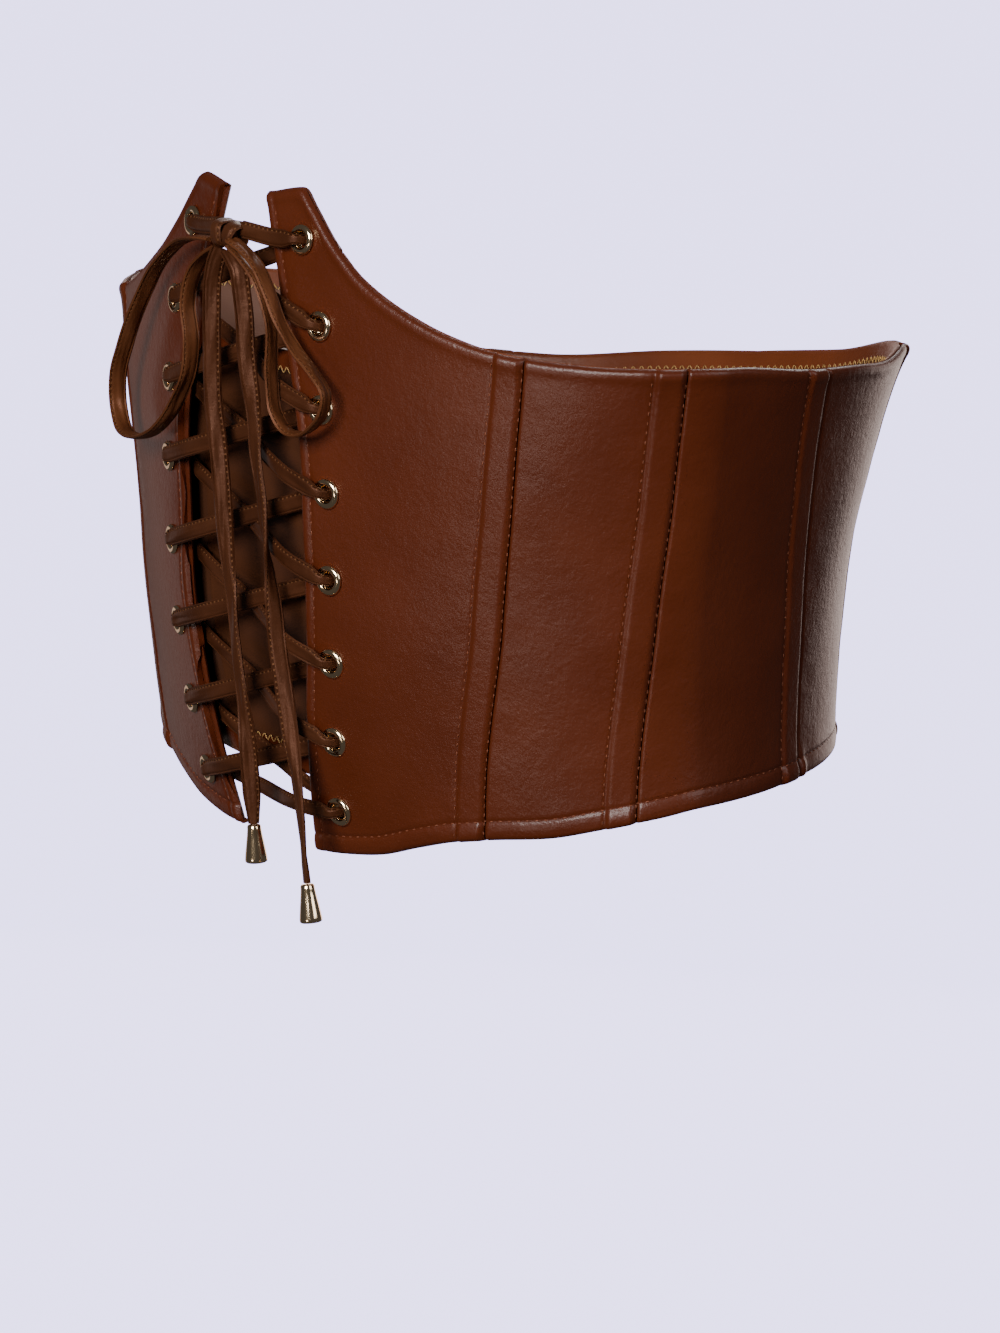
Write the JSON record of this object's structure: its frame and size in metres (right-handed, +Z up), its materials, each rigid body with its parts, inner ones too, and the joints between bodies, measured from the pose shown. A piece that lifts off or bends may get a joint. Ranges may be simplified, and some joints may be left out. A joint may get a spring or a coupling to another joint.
{
  "type": "corset belt",
  "caption": "Wide leather corset belt shaped as worn, with a pointed front laced through metal eyelets, a bow and hanging lace ends.",
  "frame": {"origin": "centre of the waist hollow that the body fills, at the height of the waist", "axes": "+X to the wearer's left, -Y out of the laced front, +Z up"},
  "size_m": [0.2586, 0.1936, 0.1973],
  "materials": {
    "leather": "smooth, half gloss",
    "facing_leather": "smooth, half gloss",
    "satin": "satin lining",
    "lace_tape": "satin tape",
    "brass": "polished, pale"
  },
  "bodies": {
    "root": {"front_panel_left": "leather", "front_panel_right": "leather", "side_front_panel_left": "leather", "side_front_panel_right": "leather", "side_panel_left": "leather", "side_panel_right": "leather", "side_back_panel_left": "leather", "side_back_panel_right": "leather", "back_panel_left": "leather", "back_panel_right": "leather", "front_channel_left": "leather", "front_channel_right": "leather", "side_front_channel_left": "leather", "side_front_channel_right": "leather", "side_channel_left": "leather", "side_channel_right": "leather", "back_channel_left": "leather", "back_channel_right": "leather", "front_facing_left": "facing_leather", "front_facing_right": "facing_leather", "top_facing": "facing_leather", "hem_facing": "facing_leather", "lining": "satin", "lacing_flap": "satin", "eyelet_left_1": "brass", "eyelet_left_2": "brass", "eyelet_left_3": "brass", "eyelet_left_4": "brass", "eyelet_left_5": "brass", "eyelet_left_6": "brass", "eyelet_left_7": "brass", "eyelet_left_8": "brass", "eyelet_right_1": "brass", "eyelet_right_2": "brass", "eyelet_right_3": "brass", "eyelet_right_4": "brass", "eyelet_right_5": "brass", "eyelet_right_6": "brass", "eyelet_right_7": "brass", "eyelet_right_8": "brass", "lace": "lace_tape", "bow_knot": "lace_tape", "bow_loop_left": "lace_tape", "bow_loop_right": "lace_tape", "lace_tail_left": "lace_tape", "lace_tail_right": "lace_tape", "cord_end_left": "brass", "cord_end_right": "brass"}
  },
  "joints": []
}
